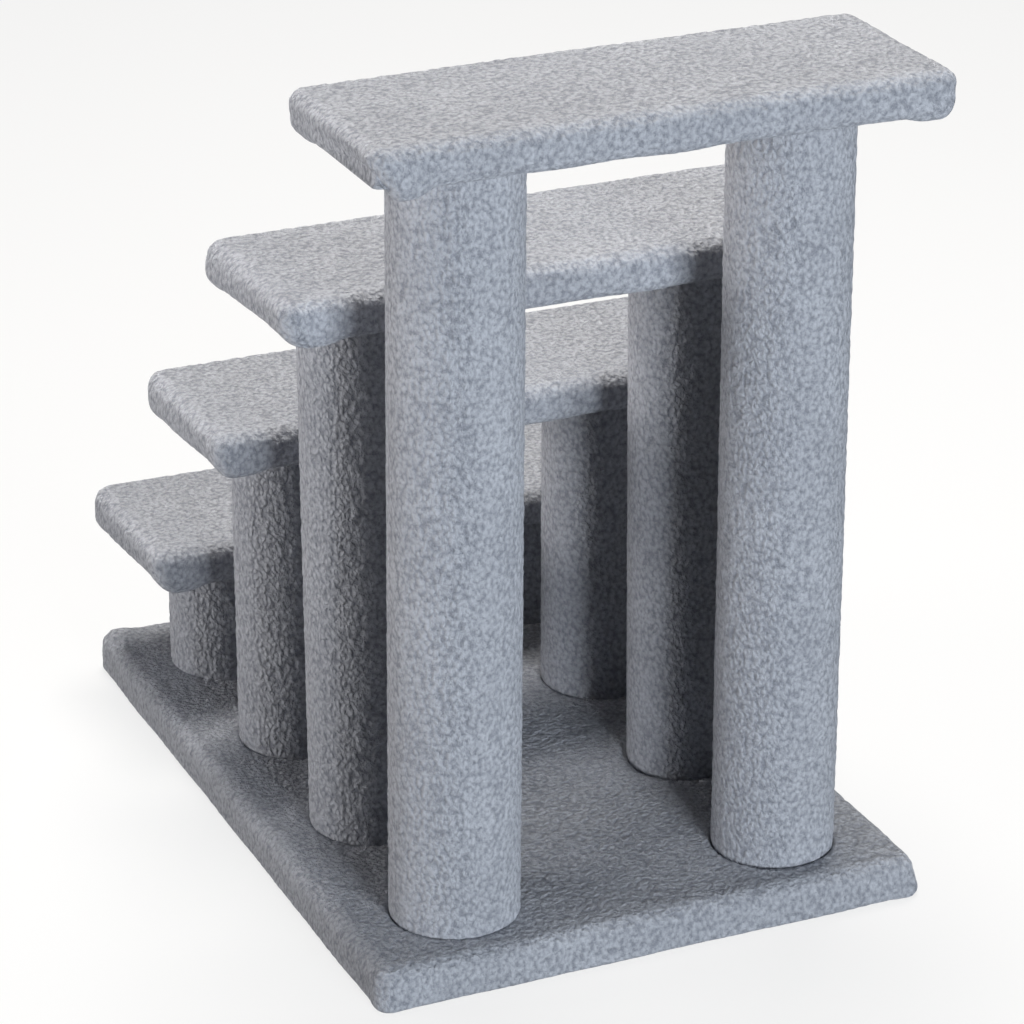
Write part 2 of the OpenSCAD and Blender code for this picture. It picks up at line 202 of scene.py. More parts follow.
class PlushSettings(PropertyGroup):
    pile: metres("Pile", "Pile and backing over boards and tubes", 0.008)
    flap: metres("Flap", "Plush pressed flat under a board", 0.004)
    band: metres("Band", "Plush under the staples", 0.002)
    glue_gap: metres("Glue gap", "Between plush and board", 0.0002)
    base_flap: metres("Base return", "Width of the return under the base", 0.036)
    end_flap: metres("End return", "Width of the return under a tread's ends", 0.031)
    side_flap: metres("Side return", "Width of the return under a tread's sides", 0.022)
    band_share: factor("Stapled share", "Share of a return that is stapled flat", 0.55)
    edge_roll: metres("Edge roll", "Roll of the plush over a board's edges", 0.011)
    foot_roll: metres("Foot roll", "Roll of the base's plush at the floor", 0.004)
    rest_height: metres("Rest height", "Pile tips under the base above the floor", 0.0003)
    corner: metres("Corner", "Plan radius of the wrapped corners", 0.013)
    fold_in: metres("Fold place", "Middle of a corner's folded pad from the sides", 0.015)
    fold_reach: metres("Fold reach", "Radius of a corner's folded pad", 0.016)
    fold_drop: metres("Fold drop", "How far a corner's folded pad hangs", 0.004)
    arch: metres("Arch", "How far a tread's hem is drawn up between its corners", 0.001)
    base_spread: metres("Base spread", "How far the base's -X end spreads at the floor", 0.0022)
    front_spread: metres("Front spread", "How far the base's tall end spreads there", 0.0008)
    corner_spread: metres("Corner spread", "How far the base's near corners fill out", 0.0015)
    post_seat: metres("Post seat", "Radius of pile pressed under a post", 0.0412)
    post_sink: metres("Post sink", "How deep a post stands in the pile", 0.0051)
    spacing: metres("Spacing", "Mesh spacing on treads and posts", 0.0015)
    base_spacing: metres("Base spacing", "Mesh spacing on the base", 0.0021)
    curl: metres("Curl", "Width of one curl of pile", 0.0032)
    mound: metres("Mound", "Width of a mound of several curls", 0.006)
    relief: metres("Relief", "Depth of the hollows between mounds", 0.0008)
    seed: IntProperty(name="Seed", description="Seed of the pile and the hems", default=7)
    tip_colour: colour("Tips", "Colour of the curls' tips", (0.462, 0.479, 0.531))
    # The crease colour is painted shade deep between the curls; the slow brushed patches also darken toward
    # it
    crease_shade_colour: colour("Creases", "Colour deep between the curls", (0.172, 0.184, 0.218))


class PostSettings(PropertyGroup):
    tube: metres("Tube radius", "Outer radius of a post's tube", 0.035)
    end_round: metres("End roll", "Roll of the plush at a post's ends", 0.005)
    seam_turn: degrees("Seam turn", "Direction of the right-hand posts' seams", 215)
    seam_depth: metres("Seam depth", "Depth of the butt seam down a post", 0.0035)


class StageSettings(PropertyGroup):
    place: FloatVectorProperty(name="Camera place", description="Where the camera stands",
                               default=(1.0543, 2.4238, 1.3747), subtype="TRANSLATION")
    azimuth: degrees("Azimuth", "Turn of the camera about the upright", 156.102)
    elevation: degrees("Elevation", "How far the camera looks down", 23.772)
    lens: number("Lens", "Focal length in millimetres", 143.37)
    floor_colour: colour("Floor", "Colour of the floor as seen", (0.8, 0.8, 0.8))
    floor_bounce: colour("Floor bounce", "Colour of the light that the floor throws up", (0.16, 0.16, 0.165))
    floor_white: factor("White floor", "Share of plain white in the floor as seen", 0.8)
    sky: number("Sky", "Strength of the soft light from all round", 0.01)
    top: number("Top lamp", "Power of the lamp overhead in watts", 85.0)
    front: number("Front lamp", "Power of the lamp beside the camera in watts", 76.0)
    side: number("Side lamp", "Power of the warm lamp at the left in watts", 8.0)


# Meshes built from patches

def stops(places, spacing):
    """Even places from stop to stop, no further apart than spacing."""
    found = [places[0]]
    for low, high in zip(places, places[1:]):
        parts = max(1, math.ceil((high - low) / spacing - TINY))
        found.extend(low + (high - low) * (i + 1) / parts for i in range(parts))
    return np.array(found)


def wander(points, length, seed):
    """Slow waves between -1 and 1, about one length long, at every point."""
    rng = np.random.default_rng(seed)
    total = np.zeros(len(points))
    for _ in range(WAVES):
        way = rng.normal(size=3)
        way /= np.linalg.norm(way)
        wave = 2 * math.pi / (length * rng.uniform(*WAVE_SHARES))
        total += np.sin(points @ way * wave + rng.uniform(0, 2 * math.pi))
    return np.clip(total / WAVE_SUM, -1, 1)


def ease(value, low, high):
    """0 below low, 1 above high, and smooth between."""
    share = np.clip((value - low) / (high - low), 0, 1)
    return share * share * (3 - 2 * share)


def rising(points, height, shares):
    """0 below the first share of the height, 1 above the second, and smooth between, for every point."""
    return ease(points[:, 2], shares[0] * height, shares[1] * height)


def near_end(along, half, form):
    """0 until a form starts and 1 where it is full, for places along a side of half its length."""
    start, full = form
    return ease(along, half - start, half - full)


class Patches:
    """Grids of points that are welded into one closed mesh later."""

    def __init__(self):
        self.points = []
        self.faces = []
        self.count = 0

    def grid(self, points, keep=None):
        rows, columns = points.shape[:2]
        index = np.arange(rows * columns).reshape(rows, columns) + self.count
        quads = np.stack([index[:-1, :-1], index[1:, :-1], index[1:, 1:], index[:-1, 1:]], axis=-1)
        quads = quads.reshape(-1, 4)
        if keep is not None:
            quads = quads[keep.reshape(-1)]
        self.points.append(points.reshape(-1, 3))
        self.faces.extend(quads.tolist())
        self.count += rows * columns

    def cap(self, loop):
        self.points.append(loop)
        self.faces.append(list(range(self.count, self.count + len(loop))))
        self.count += len(loop)

    def all_points(self):
        return np.concatenate(self.points)


def edge_profile(plush, height, low_roll, spacing):
    """(how far out, height) of points over a board's rolled edge, from its top to its underside."""
    flat = plush.corner - plush.edge_roll
    low_flat = plush.corner - low_roll
    turn = stops([0, math.pi / 2], spacing / plush.edge_roll)
    widest_turn = 0.5
    low_turn = stops([0, math.pi / 2], min(spacing / low_roll, widest_turn))
    over = [(out, height) for out in stops([0, flat], spacing)]
    over += [(flat + plush.edge_roll * math.sin(a), height - plush.edge_roll * (1 - math.cos(a)))
             for a in turn[1:]]
    down = stops([low_roll, height - plush.edge_roll], spacing)[::-1]
    over += [(plush.corner, z) for z in down[1:]]
    over += [(low_flat + low_roll * math.cos(a), low_roll * (1 - math.sin(a))) for a in low_turn[1:]]
    over += [(out, 0) for out in stops([0, low_flat], spacing)[::-1][1:]]
    return np.array(over)


def rounded_loop(loop, inner, outer, corner):
    """The loop of an opening, stretched from half size inner to a board's outline of half size outer."""
    points = loop[:, :2] * (np.array(outer) / np.array(inner))
    centre = np.array(outer) - corner
    past = np.abs(points) - centre
    round_here = (past > 0).all(axis=1)
    reach = np.linalg.norm(past, axis=1)
    edge = centre + past * (corner / np.maximum(reach, TINY))[:, None]
    points[round_here] = np.sign(points[round_here]) * edge[round_here]
    return points


def wrapped_board(plush, board, returns, low_roll, spacing):
    """Patches of one plush cover round a board, with its underside at z = 0 and its middle on the axis."""
    patches = Patches()
    size = board[1] - board[0]
    half = size[:2] / 2 + plush.pile
    height = plush.flap + size[2] + plush.pile
    flat = half - plush.corner
    bare = size[:2] / 2 - np.array(returns)
    xs = stops([-flat[0], -bare[0], bare[0], flat[0]], spacing)
    ys = stops([-flat[1], -bare[1], bare[1], flat[1]], spacing)
    gx, gy = np.meshgrid(xs, ys, indexing="ij")
    patches.grid(np.stack([gx, gy, np.full_like(gx, height)], axis=-1))
    profile = edge_profile(plush, height, low_roll, spacing)
    corner_spacing = 1.6 * spacing
    quarter = stops([0, math.pi / 2], corner_spacing / plush.corner)
    for turn in range(4):
        cos, sin = round(math.cos(turn * math.pi / 2)), round(math.sin(turn * math.pi / 2))
        reach, along = (flat[0], ys) if turn % 2 == 0 else (flat[1], xs)
        out = np.repeat((reach + profile[:, 0])[:, None], len(along), axis=1)
        across = np.repeat(along[None, :], len(profile), axis=0)
        z = np.repeat(profile[:, 1][:, None], len(along), axis=1)
        patches.grid(np.stack([cos * out - sin * across, sin * out + cos * across, z], axis=-1))
        angle = quarter + turn * math.pi / 2
        centre = flat * np.array([(1, 1), (-1, 1), (-1, -1), (1, -1)][turn])
        patches.grid(np.stack([
            centre[0] + profile[:, 0][:, None] * np.cos(angle)[None, :],
            centre[1] + profile[:, 0][:, None] * np.sin(angle)[None, :],
            np.repeat(profile[:, 1][:, None], len(angle), axis=1)], axis=-1))
    under = np.stack([gx.T, gy.T, np.zeros_like(gx.T)], axis=-1)
    mid_x, mid_y = (xs[:-1] + xs[1:]) / 2, (ys[:-1] + ys[1:]) / 2
    keep = (np.abs(mid_x)[None, :] > bare[0]) | (np.abs(mid_y)[:, None] > bare[1])
    patches.grid(under, keep)
    in_x, in_y = xs[np.abs(xs) <= bare[0] + TINY], ys[np.abs(ys) <= bare[1] + TINY]
    loop = np.array([(bare[0], y) for y in in_y[:-1]] + [(x, bare[1]) for x in in_x[:0:-1]]
                    + [(-bare[0], y) for y in in_y[:0:-1]] + [(x, -bare[1]) for x in in_x[:-1]])
    outline = rounded_loop(loop, bare, size[:2] / 2 + plush.glue_gap,
                           plush.corner - plush.pile + plush.glue_gap)
    low, high = plush.flap - plush.glue_gap, plush.flap + size[2] + plush.glue_gap
    rings = [(loop, 0.0), (loop, low), (outline, low), (outline, high)]
    closed = [np.column_stack([np.vstack([ring, ring[:1]]), np.full(len(ring) + 1, z)]) for ring, z in rings]
    outer_count = patches.count
    patches.grid(np.stack(closed))
    patches.cap(np.column_stack([outline, np.full(len(outline), high)])[::-1])
    return patches, half, height, bare, outer_count


def soften_hem(points, plush, half, height, bare, seed, folds, ends=(0.0, 0.0, 0.0), arch=0.0):
    """Waves the hem, fills out the ends, draws up the hem between the corners, hangs the folded pads at
    the corners and presses the stapled band flat. Returns how pressed each point is."""
    from_side = half - np.abs(points[:, :2])
    low = 1 - rising(points, height, LOW_SHARES)
    rim = 1 - ease(from_side.min(axis=1), *HEM_RIM[::-1])
    push = OUT_WAVE[0] * wander(points, OUT_WAVE[1], seed) * rim
    outward = np.sign(points[:, :2]) * push[:, None] * (from_side < WAVED_RIM)
    lean = 1 - LEAN * rising(points, height, LEAN_SHARES)
    for sign, puff in zip((-1, 1), ends):
        points[:, 0] += sign * puff * lean * near_end(sign * points[:, 0], half[0], END_FILL)
    high = rising(points, height, HIGH_SHARES)
    points[:, 2] += ends[2] * high * np.clip(points[:, 0] / half[0], 0, 1)
    middle = 1 - ease(np.abs(points[:, 1]) / half[1], 0.0, ARCH_SHARE)
    points[:, 2] += arch * low * near_end(np.abs(points[:, 0]), half[0], END_ARCH) * middle
    points[:, :2] += outward
    points[:, 2] += low * rim * UP_WAVE[0] * wander(points, UP_WAVE[1], seed + 1) * (arch > 0)
    hem = 1 - rising(points, height, HEM_SHARES)
    for (x, y), (share, inward, tuck) in folds.items():
        middle_x = x * (half[0] - plush.fold_in - inward)
        away = np.hypot(points[:, 0] - middle_x, points[:, 1] - y * (half[1] - plush.fold_in))
        pad = 1 - ease(away, PAD_SHARES[0] * plush.fold_reach, PAD_SHARES[1] * plush.fold_reach)
        points[:, 2] -= low * share * plush.fold_drop * pad
        drawn = near_end(x * points[:, 0], half[0], CORNER_TUCK)
        drawn *= ease(y * points[:, 1], TUCK_SHARES[0] * half[1], TUCK_SHARES[1] * half[1])
        points[:, 0] -= x * tuck * hem * drawn
    band = bare + (half - plush.pile - bare) * plush.band_share
    inside = 1 - ease(np.abs(points[:, :2]), band - BAND_EDGE[0], band + BAND_EDGE[1]).max(axis=1)
    level = plush.flap - plush.band
    flat_here = points[:, 2] < level
    points[flat_here, 2] += ((level - points[:, 2]) * inside)[flat_here]
    return inside


# Nodes and geometry trees

PILE_INPUTS = {"Curl size": "Float", "Relief": "Float", "Material": "Material"}


def new_tree(name, inputs):
    """A tree with a geometry, the inputs and the pile's inputs coming in and a geometry going out, and
    its first and last nodes."""
    tree = bpy.data.node_groups.new(name, "GeometryNodeTree")
    for label, kind in ({"Geometry": "Geometry"} | inputs | PILE_INPUTS).items():
        tree.interface.new_socket(name=label, in_out="INPUT", socket_type=f"NodeSocket{kind}")
    tree.interface.new_socket(name="Geometry", in_out="OUTPUT", socket_type="NodeSocketGeometry")
    return tree, tree.nodes.new("NodeGroupInput"), tree.nodes.new("NodeGroupOutput")


def set_or_link(tree, target, value):
    if isinstance(value, bpy.types.NodeSocket):
        tree.links.new(value, target)
    else:
        target.default_value = value


def new_node(tree, kind, inputs, **settings):
    """A node with its own settings. Inputs, by name or place, are set to values or linked to sockets, and
    those that get None are left alone."""
    node = tree.nodes.new(kind)
    for name, value in settings.items():
        setattr(node, name, value)
    for name, value in inputs.items():
        if value is not None:
            set_or_link(tree, node.inputs[name], value)
    return node


def math_node(tree, operation, first, second=None, third=None, clamp=False):
    return new_node(tree, "ShaderNodeMath", {0: first, 1: second, 2: third}, operation=operation,
                    use_clamp=clamp).outputs[0]


def vector_node(tree, operation, first, second=None, scale=None):
    return new_node(tree, "ShaderNodeVectorMath", {0: first, 1: second, "Scale": scale},
                    operation=operation).outputs[0]


def noise_node(tree, place, scale, detail=2.0, roughness=0.5):
    return new_node(tree, "ShaderNodeTexNoise", {"Vector": place, "Scale": scale, "Detail": detail,
                                                 "Roughness": roughness}).outputs["Fac"]


def curl_height(tree, place, curl, detail):
    """Nodes for the height of the curls at a place, from about 0 in a crease to 1 on a tip: round nubs,
    broken up by lumps of their own size."""
    drawn = vector_node(tree, "MULTIPLY", place, CURL_STRETCH)
    fine = math_node(tree, "DIVIDE", 1.0, curl)
    lumps = noise_node(tree, drawn, math_node(tree, "MULTIPLY", fine, LUMPS_PER_CURL), detail,
                       LUMP_ROUGHNESS)
    shift = vector_node(tree, "SUBTRACT", lumps.node.outputs["Color"], (0.5, 0.5, 0.5))
    shift = vector_node(tree, "SCALE", shift, scale=math_node(tree, "MULTIPLY", curl, NUB_SHIFT))
    nubs = new_node(tree, "ShaderNodeTexVoronoi", {
        "Vector": vector_node(tree, "ADD", drawn, shift), "Scale": fine, "Smoothness": NUB_SOFTNESS},
        feature="SMOOTH_F1")
    nub = math_node(tree, "MULTIPLY_ADD", nubs.outputs["Distance"], *NUB_RANGE)
    lump = math_node(tree, "MULTIPLY_ADD", lumps, *LUMP_RANGE)
    return math_node(tree, "ADD", nub, lump, clamp=True)


def pile_group():
    """Raises curls of pile on a welded mesh. The points' own value named loft says how free the pile is."""
    tree, start, end = new_tree("curly_pile", {})
    place = tree.nodes.new("GeometryNodeInputPosition").outputs[0]
    height = curl_height(tree, place, start.outputs["Curl size"], 1.0)
    keep_place = new_node(tree, "GeometryNodeStoreNamedAttribute", {
        "Geometry": start.outputs["Geometry"], "Name": "rest_place", "Value": place},
        data_type="FLOAT_VECTOR")
    loft = new_node(tree, "GeometryNodeInputNamedAttribute", {"Name": "loft"})
    normal = tree.nodes.new("GeometryNodeInputNormal")
    depth = math_node(tree, "MULTIPLY", math_node(tree, "SUBTRACT", height, 0.5), start.outputs["Relief"])
    depth = math_node(tree, "MULTIPLY", depth, loft.outputs["Attribute"])
    move = new_node(tree, "GeometryNodeSetPosition", {
        "Geometry": keep_place.outputs["Geometry"],
        "Offset": vector_node(tree, "SCALE", normal.outputs[0], scale=depth)})
    smooth = new_node(tree, "GeometryNodeSetShadeSmooth", {"Geometry": move.outputs["Geometry"]})
    paint = new_node(tree, "GeometryNodeSetMaterial", {
        "Geometry": smooth.outputs["Geometry"], "Material": start.outputs["Material"]})
    tree.links.new(paint.outputs["Geometry"], end.inputs["Geometry"])
    return tree


def end_with_pile(tree, start, end, geometry, pile):
    """Raises the pile on a geometry and gives it its material, as a modifier's last nodes."""
    tree.is_modifier = True
    pile_inputs = {name: start.outputs[name] for name in PILE_INPUTS}
    raised = new_node(tree, "GeometryNodeGroup", {"Geometry": geometry} | pile_inputs, node_tree=pile)
    realize = new_node(tree, "GeometryNodeRealizeInstances", {"Geometry": raised.outputs[0]})
    paint = new_node(tree, "GeometryNodeSetMaterial", {
        "Geometry": realize.outputs[0], "Material": start.outputs["Material"]})
    tree.links.new(paint.outputs[0], end.inputs[0])


def board_tree(pile):
    """Welds a board cover's patches and raises its pile."""
    tree, start, end = new_tree("plush_on_board", {"Weld distance": "Float"})
    weld = new_node(tree, "GeometryNodeMergeByDistance", {
        "Geometry": start.outputs["Geometry"], "Distance": start.outputs["Weld distance"]})
    end_with_pile(tree, start, end, weld.outputs["Geometry"], pile)


def post_tree(pile):
    """Sweeps a wall's section round a post's axis, cuts its butt seam and raises its pile."""
    tree, start, end = new_tree("plush_on_post", {
        "Points round": "Int", "Wall": "Float", "Seam turn": "Float", "Seam depth": "Float",
        "Rail radius": "Float", "Foot": "Vector", "Length": "Float", "Extra pile": "Float",
        "Foot shift": "Vector", "Head shift": "Vector"})
    section = new_node(tree, "GeometryNodeMeshToCurve", {"Mesh": start.outputs["Geometry"]})
    rail = new_node(tree, "GeometryNodeCurvePrimitiveCircle", {
        "Resolution": start.outputs["Points round"], "Radius": start.outputs["Rail radius"]})
    sweep = new_node(tree, "GeometryNodeCurveToMesh", {
        "Curve": rail.outputs["Curve"], "Profile Curve": section.outputs["Curve"]})
    face_out = new_node(tree, "GeometryNodeFlipFaces", {"Mesh": sweep.outputs["Mesh"]})

    # Where a point is: its angle round the post, and its share of the wall's thickness and of the length
    place = tree.nodes.new("GeometryNodeInputPosition")
    parts = new_node(tree, "ShaderNodeSeparateXYZ", {0: place.outputs[0]})
    angle = math_node(tree, "ARCTAN2", parts.outputs["Y"], parts.outputs["X"])
    flat = new_node(tree, "ShaderNodeCombineXYZ", {"X": parts.outputs["X"], "Y": parts.outputs["Y"]})
    radius = vector_node(tree, "LENGTH", flat.outputs[0]).node.outputs["Value"]
    beyond = math_node(tree, "SUBTRACT", radius, start.outputs["Rail radius"])
    outside = math_node(tree, "DIVIDE", beyond, start.outputs["Wall"], clamp=True)
    upward = math_node(tree, "DIVIDE", parts.outputs["Z"], start.outputs["Length"], clamp=True)

    # The butt seam is about two points wide to each side, at angle 0
    seam_points, seam_curve = 2.2, 1.6
    step = math_node(tree, "DIVIDE", 2 * math.pi, start.outputs["Points round"])
    off_seam = math_node(tree, "DIVIDE", math_node(tree, "ABSOLUTE", angle), step)
    groove = math_node(tree, "SUBTRACT", 1.0, math_node(tree, "DIVIDE", off_seam, seam_points), clamp=True)
    groove = math_node(tree, "POWER", groove, seam_curve)
    cut = math_node(tree, "MULTIPLY", math_node(tree, "MULTIPLY", groove, outside),
                    start.outputs["Seam depth"])

    # The outer face goes in at the seam, out by the extra pile, and aside by the shifts
    thicker = math_node(tree, "MULTIPLY", outside, start.outputs["Extra pile"])
    push = vector_node(tree, "NORMALIZE", flat.outputs[0])
    push = vector_node(tree, "SCALE", push, scale=math_node(tree, "SUBTRACT", thicker, cut))
    shift = new_node(tree, "ShaderNodeMix", {
        0: upward, 4: start.outputs["Foot shift"], 5: start.outputs["Head shift"]}, data_type="VECTOR")
    shift = vector_node(tree, "SCALE", shift.outputs[1], scale=outside)
    seam = new_node(tree, "GeometryNodeSetPosition", {
        "Geometry": face_out.outputs["Mesh"], "Offset": vector_node(tree, "ADD", push, shift)})

    # The pile is free on the outer face and not against the tube
    free_factor, free_level = 2.0, -0.8
    free = math_node(tree, "MULTIPLY_ADD", outside, free_factor, free_level)
    free = math_node(tree, "MINIMUM", math_node(tree, "MAXIMUM", free, 0.0), 1.0)
    loft = new_node(tree, "GeometryNodeStoreNamedAttribute", {
        "Geometry": seam.outputs["Geometry"], "Name": "loft", "Value": free}, data_type="FLOAT")
    turn = new_node(tree, "ShaderNodeCombineXYZ", {"Z": start.outputs["Seam turn"]})
    stand = new_node(tree, "GeometryNodeTransform", {
        "Geometry": loft.outputs["Geometry"], "Translation": start.outputs["Foot"],
        "Rotation": turn.outputs[0]})
    end_with_pile(tree, start, end, stand.outputs["Geometry"], pile)


def run_tree(name, points, edges, faces, tree, values, loft=None):
    """Puts a mesh through a tree and returns the result as a plain object."""
    mesh = bpy.data.meshes.new(name)
    mesh.from_pydata(points, edges, faces)
    if loft is not None:
        mesh.attributes.new("loft", "FLOAT", "POINT").data.foreach_set("value", loft.astype(np.float32))
    piece = bpy.data.objects.new(name, mesh)
    bpy.context.scene.collection.objects.link(piece)
    modifier = piece.modifiers.new("Plush", "NODES")
    modifier.node_group = tree
    for item in tree.interface.items_tree:
        if item.item_type == "SOCKET" and item.in_out == "INPUT" and item.name in values:
            modifier[item.identifier] = values[item.name]
    graph = bpy.context.evaluated_depsgraph_get()
    done = bpy.data.meshes.new_from_object(piece.evaluated_get(graph), depsgraph=graph)
    piece.modifiers.remove(modifier)
    piece.data = done
    done.name = name
    return piece


def named_tree(name):
    """One of the trees, made when it is first asked for."""
    if "curly_pile" not in bpy.data.node_groups:
        pile = pile_group()
        board_tree(pile)
        post_tree(pile)
    return bpy.data.node_groups[name]


# Finishes

def finish_base(name, roughness, metallic=0.0):
    """A new material, its tree and its shader."""
    material = bpy.data.materials.new(name)
    material.use_nodes = True
    tree = material.node_tree
    shader = tree.nodes["Principled BSDF"]
    shader.inputs["Roughness"].default_value = roughness
    shader.inputs["Metallic"].default_value = metallic
    return material, tree, shader


def blend_colours(tree, share, first, second):
    """A colour between two others, each a socket or three numbers."""
    ends = [value if isinstance(value, bpy.types.NodeSocket) else (*value, 1.0)
            for value in (first, second)]
    return new_node(tree, "ShaderNodeMix", {0: share, 6: ends[0], 7: ends[1]}, data_type="RGBA").outputs[2]


def between(tree, value, low, high, to_low=0.0, to_high=1.0):
    return new_node(tree, "ShaderNodeMapRange", {
        "Value": value, "From Min": low, "From Max": high, "To Min": to_low, "To Max": to_high},
        interpolation_type="SMOOTHSTEP").outputs["Result"]


def bump_node(tree, height, distance, strength=1.0, below=None):
    return new_node(tree, "ShaderNodeBump", {
        "Strength": strength, "Distance": distance, "Height": height, "Normal": below}).outputs["Normal"]


def own_place(tree):
    return tree.nodes.new("ShaderNodeTexCoord").outputs["Object"]


def link_surface(tree, shader, tone, normal):
    tree.links.new(tone, shader.inputs["Base Color"])
    tree.links.new(normal, shader.inputs["Normal"])


def plush_finish(plush):
    """Curly plush: light tips, painted shade in the creases, fine fibres lightened partly with painted
    highlight, and slow brushed patches.
    """
    if "curly_plush" in bpy.data.materials:
        return bpy.data.materials["curly_plush"]
    material, tree, shader = finish_base("curly_plush", roughness=0.95)
    rest = tree.nodes.new("ShaderNodeAttribute")
    rest.attribute_name = "rest_place"
    place = rest.outputs["Vector"]
    width = tree.nodes.new("ShaderNodeValue")
    width.outputs[0].default_value = plush.curl
    height = curl_height(tree, place, width.outputs[0], detail=2.5)
    fibre = noise_node(tree, place, scale=1200.0, detail=2.0, roughness=0.65)
    patch = noise_node(tree, place, scale=22.0, detail=3.0)
    # The crease colour is painted shade for the creases, and also the dark tone of the slow brushed patches
    crease_shade_and_patch_tone = tuple(plush.crease_shade_colour)
    # Painted shade: the tone darkens from the tips' colour to the crease colour as the curls' height falls
    tone = blend_colours(tree, between(tree, height, *SHADE_RANGE), crease_shade_and_patch_tone, tuple(plush.tip_colour))
    # Fine fibres lighten the tone toward a colour that is partly the fibres' own and partly painted
    # highlight
    tone = blend_colours(tree, between(tree, fibre, 0.35, 0.75, to_high=0.3), tone, FIBRE_TONE_AND_HIGHLIGHT)
    tone = blend_colours(tree, between(tree, patch, 0.3, 0.7, to_high=0.16), tone, crease_shade_and_patch_tone)
    curls = bump_node(tree, height, distance=0.0018, strength=0.8)
    link_surface(tree, shader, tone, bump_node(tree, fibre, distance=0.0006, strength=0.7, below=curls))
    shader.inputs["Sheen Weight"].default_value = 0.22
    shader.inputs["Sheen Roughness"].default_value = 0.55
    shader.inputs["Sheen Tint"].default_value = SHEEN_COLOUR
    shader.inputs["Specular IOR Level"].default_value = 0.15
    return material


def chipboard_finish():
    """Pressed board of pale and dark wood chips."""
    material, tree, shader = finish_base("pressed_chipboard", roughness=0.78)
    place = own_place(tree)
    chips = new_node(tree, "ShaderNodeTexVoronoi", {"Vector": place, "Scale": 420.0})
    chance = new_node(tree, "ShaderNodeSeparateColor", {0: chips.outputs["Color"]})
    tone = blend_colours(tree, chance.outputs[0], *CHIP_COLOURS)
    dust = noise_node(tree, place, scale=900.0, detail=3.0, roughness=0.6)
    tone = blend_colours(tree, between(tree, dust, 0.35, 0.75, to_high=0.5), tone, DUST_COLOUR)
    link_surface(tree, shader, tone, bump_node(tree, dust, distance=0.0003, strength=0.5))
    return material


def paper_finish():
    """Brown paper tube with the edges of its plies."""
    material, tree, shader = finish_base("brown_paper_tube", roughness=0.85)
    place = own_place(tree)
    parts = new_node(tree, "ShaderNodeSeparateXYZ", {0: place})
    plies_per_metre, edge_share = 14.0, 0.03
    ply = math_node(tree, "FRACT", math_node(tree, "MULTIPLY", parts.outputs["Z"], plies_per_metre))
    line = between(tree, ply, 0.0, edge_share, to_low=1.0, to_high=0.0)
    fibre = noise_node(tree, place, scale=650.0, detail=3.0, roughness=0.6)
    tone = blend_colours(tree, fibre, *PAPER_COLOURS)
    tone = blend_colours(tree, math_node(tree, "MULTIPLY", line, 0.5), tone, PLY_COLOUR)
    link_surface(tree, shader, tone, bump_node(tree, fibre, distance=0.0002, strength=0.4))
    return material


def plug_finish():
    """Bare wooden disc with its rings and pores."""
    material, tree, shader = finish_base("bare_plug_wood", roughness=0.66)
    place = own_place(tree)
    grain = new_node(tree, "ShaderNodeTexWave", {
        "Vector": place, "Scale": 55.0, "Distortion": 5.0, "Detail": 2.0})
    pores = noise_node(tree, place, scale=1500.0, detail=2.0, roughness=0.6)
    tone = blend_colours(tree, grain.outputs["Fac"], *PLUG_COLOURS)
    tone = blend_colours(tree, between(tree, pores, 0.6, 0.75, to_high=0.5), tone, PORE_COLOUR)
    link_surface(tree, shader, tone, bump_node(tree, pores, distance=0.0002, strength=0.4))
    return material


def steel_finish(name, tone, roughness, speck):
    """Plated steel with faint crystal specks and handling marks."""
    material, tree, shader = finish_base(name, roughness, metallic=1.0)
    marks = noise_node(tree, own_place(tree), scale=speck, detail=3.0, roughness=0.6)
    darkening, smoother, rougher = 0.8, 0.08, 0.1
    darker = tuple(darkening * value for value in tone)
    tree.links.new(between(tree, marks, 0.3, 0.7, roughness - smoother, roughness + rougher),
                   shader.inputs["Roughness"])
    link_surface(tree, shader, blend_colours(tree, marks, darker, tone),
                 bump_node(tree, marks, distance=0.00008, strength=0.3))
    return material


def repaint(words, material):
    """Gives every CAD node whose name holds one of the words a better material."""
    for name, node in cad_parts.items():
        if any(word in name for word in words):
            for place in node.material_slots:
                place.material = material


# Operators, one for each group of pieces

def dress_board(name, board_name, returns, low_roll, spacing, seed, shape):
    plush = bpy.context.scene.stair_plush
    board = np.array(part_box(board_name))
    patches, half, height, bare, outer_count = wrapped_board(plush, board, returns, low_roll, spacing)
    points = patches.all_points()
    outer, inner = points[:outer_count], points[outer_count:]
    pressed = shape(outer, plush, half, height, bare, seed)
    inner[inner[:, 2] < TINY, 2] = plush.flap - plush.band
    under = 1 - rising(outer, height, UNDER_SHARES)
    loft = np.zeros(len(points))
    loft[:outer_count] = (1 - UNDER_PRESS * under) * (1 - STAPLE_PRESS * pressed * under)
    middle = (board[0] + board[1]) / 2
    points += np.array([middle[0], middle[1], board[0][2] - plush.flap])
    piece = run_tree(name, points.tolist(), [], patches.faces, named_tree("plush_on_board"), {
        "Weld distance": WELD, "Curl size": plush.mound, "Relief": plush.relief,
        "Material": plush_finish(plush)}, loft)
    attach(piece, "root")
    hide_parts(board_name.replace("_board", "_cover"))
    return piece


def post_middle(step, side):
    """Where a post's axis is, across and along the flight."""
    low, high = np.array(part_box(f"post_tube_{step}_{side}"))[:, :2]
    return (low + high) / 2


